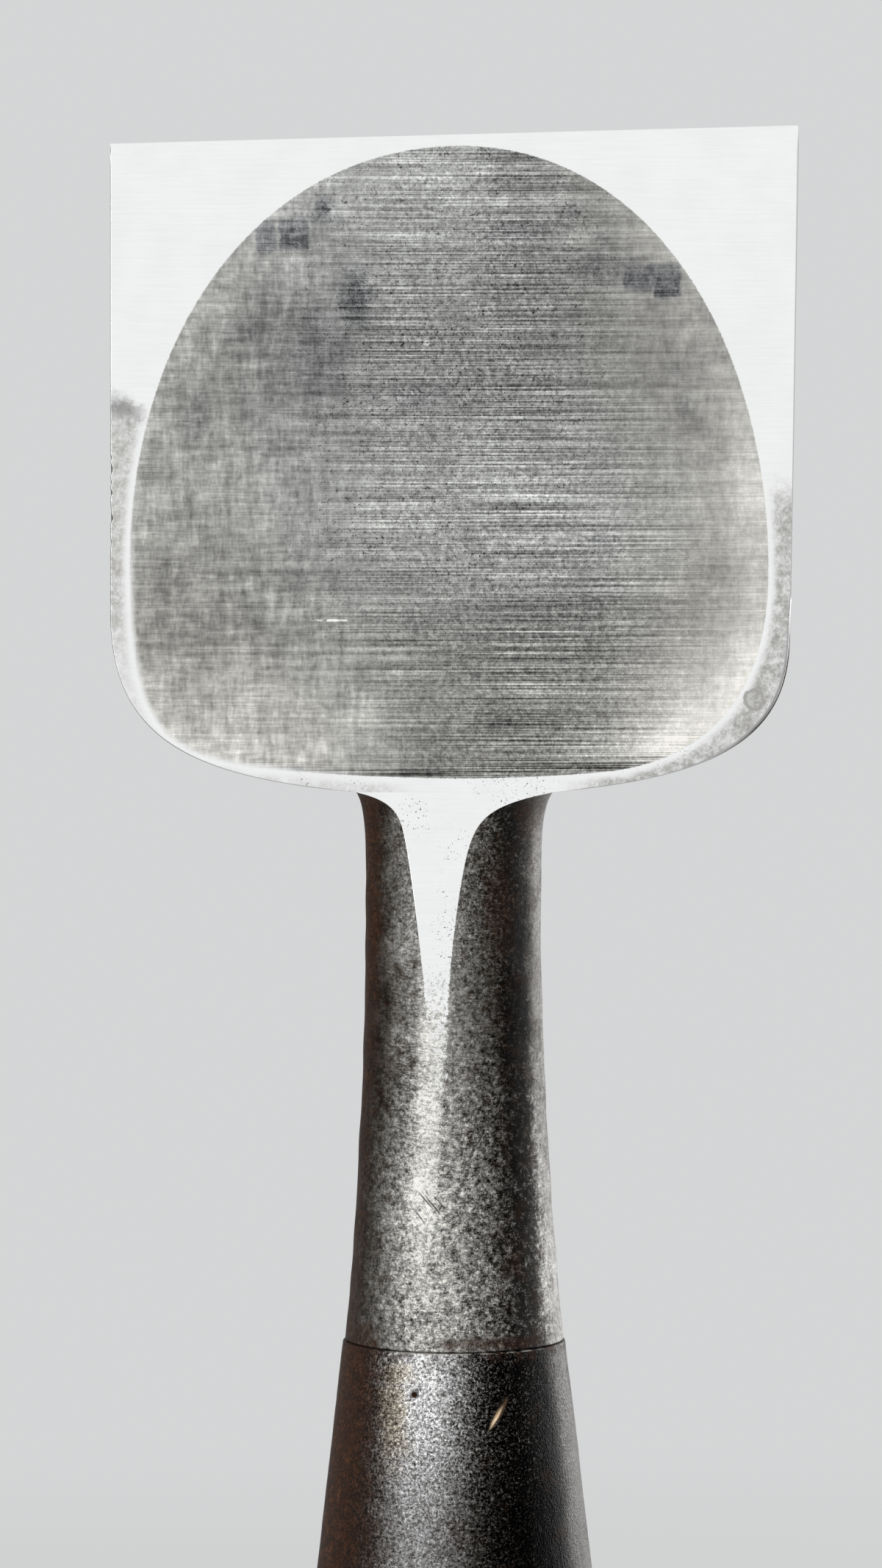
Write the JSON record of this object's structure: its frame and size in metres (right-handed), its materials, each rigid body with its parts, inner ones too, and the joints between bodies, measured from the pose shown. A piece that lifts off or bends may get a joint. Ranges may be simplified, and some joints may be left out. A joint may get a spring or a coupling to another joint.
{
  "type": "bench chisel",
  "caption": "Wide Japanese bench chisel with a hollow-ground laminated blade, round neck, conical ferrule, turned wooden handle and steel hoop.",
  "frame": {"origin": "centre of the struck end of the handle, on the handle's axis", "axes": "+Z along the handle's axis to the cutting edge, +X across the blade, -Y out of the flat, hollow-ground back"},
  "size_m": [0.042, 0.0294, 0.1997],
  "materials": {
    "hard_steel": "ground bright hollow with fine lines across, polished lands",
    "soft_iron": "dark forge patina with fine speckle, rust tints and worn bright ridges",
    "ferrule_iron": "dark pitted iron with brown rust and a worn grey sheen",
    "handle_wood": "old oiled oak, darkened by handling",
    "hoop_iron": "dark hammered iron with rust"
  },
  "bodies": {
    "root": {"cutting_steel": "hard_steel", "blade_body": "soft_iron", "ferrule": "ferrule_iron", "handle": "handle_wood", "hoop": "hoop_iron"}
  },
  "joints": []
}
